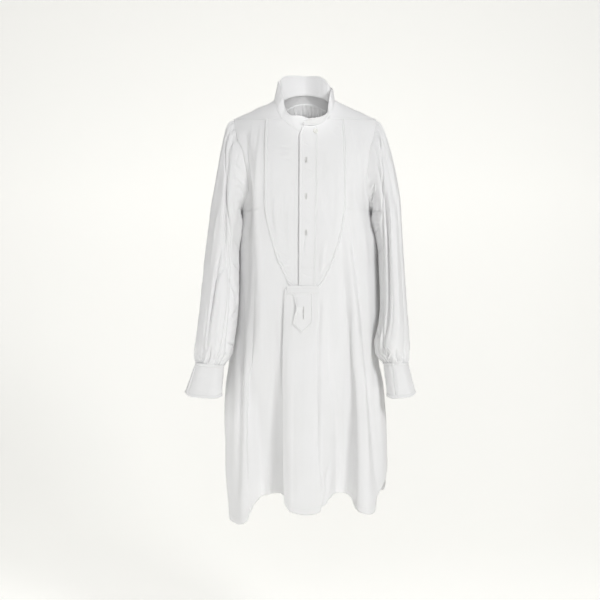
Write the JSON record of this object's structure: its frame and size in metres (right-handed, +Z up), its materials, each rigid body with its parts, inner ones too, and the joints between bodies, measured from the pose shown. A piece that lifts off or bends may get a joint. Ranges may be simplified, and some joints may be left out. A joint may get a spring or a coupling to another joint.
{
  "type": "nightshirt",
  "caption": "White cotton bib-front nightshirt with a stand neckband, buttonhole tab, box pleat, full sleeves gathered into cuffs and side vents, worn form and hollow",
  "frame": {"origin": "The mount shoulders: the middle of the line between the shoulders, under the neckband, where the wearer holds the nightshirt up.", "axes": "+Z runs up through the neck opening. The front of the nightshirt faces -Y. +X runs from the wearer's right to the wearer's left, which is the viewer's right."},
  "size_m": [0.56, 0.3297, 1.117],
  "materials": {
    "cotton": "matt plain-weave cotton",
    "button": "smooth pearl"
  },
  "bodies": {
    "root": {"Front_panel": "cotton", "Back_panel": "cotton", "Shoulder_yoke": "cotton", "Bib_left": "cotton", "Bib_right": "cotton", "Placket": "cotton", "Bib_bar": "cotton", "Bib_tab": "cotton", "Neckband": "cotton", "Sleeve_left": "cotton", "Gusset_left": "cotton", "Sleeve_right": "cotton", "Gusset_right": "cotton", "Cuff_left": "cotton", "Cuff_right": "cotton", "Neck_button": "button"}
  },
  "joints": []
}
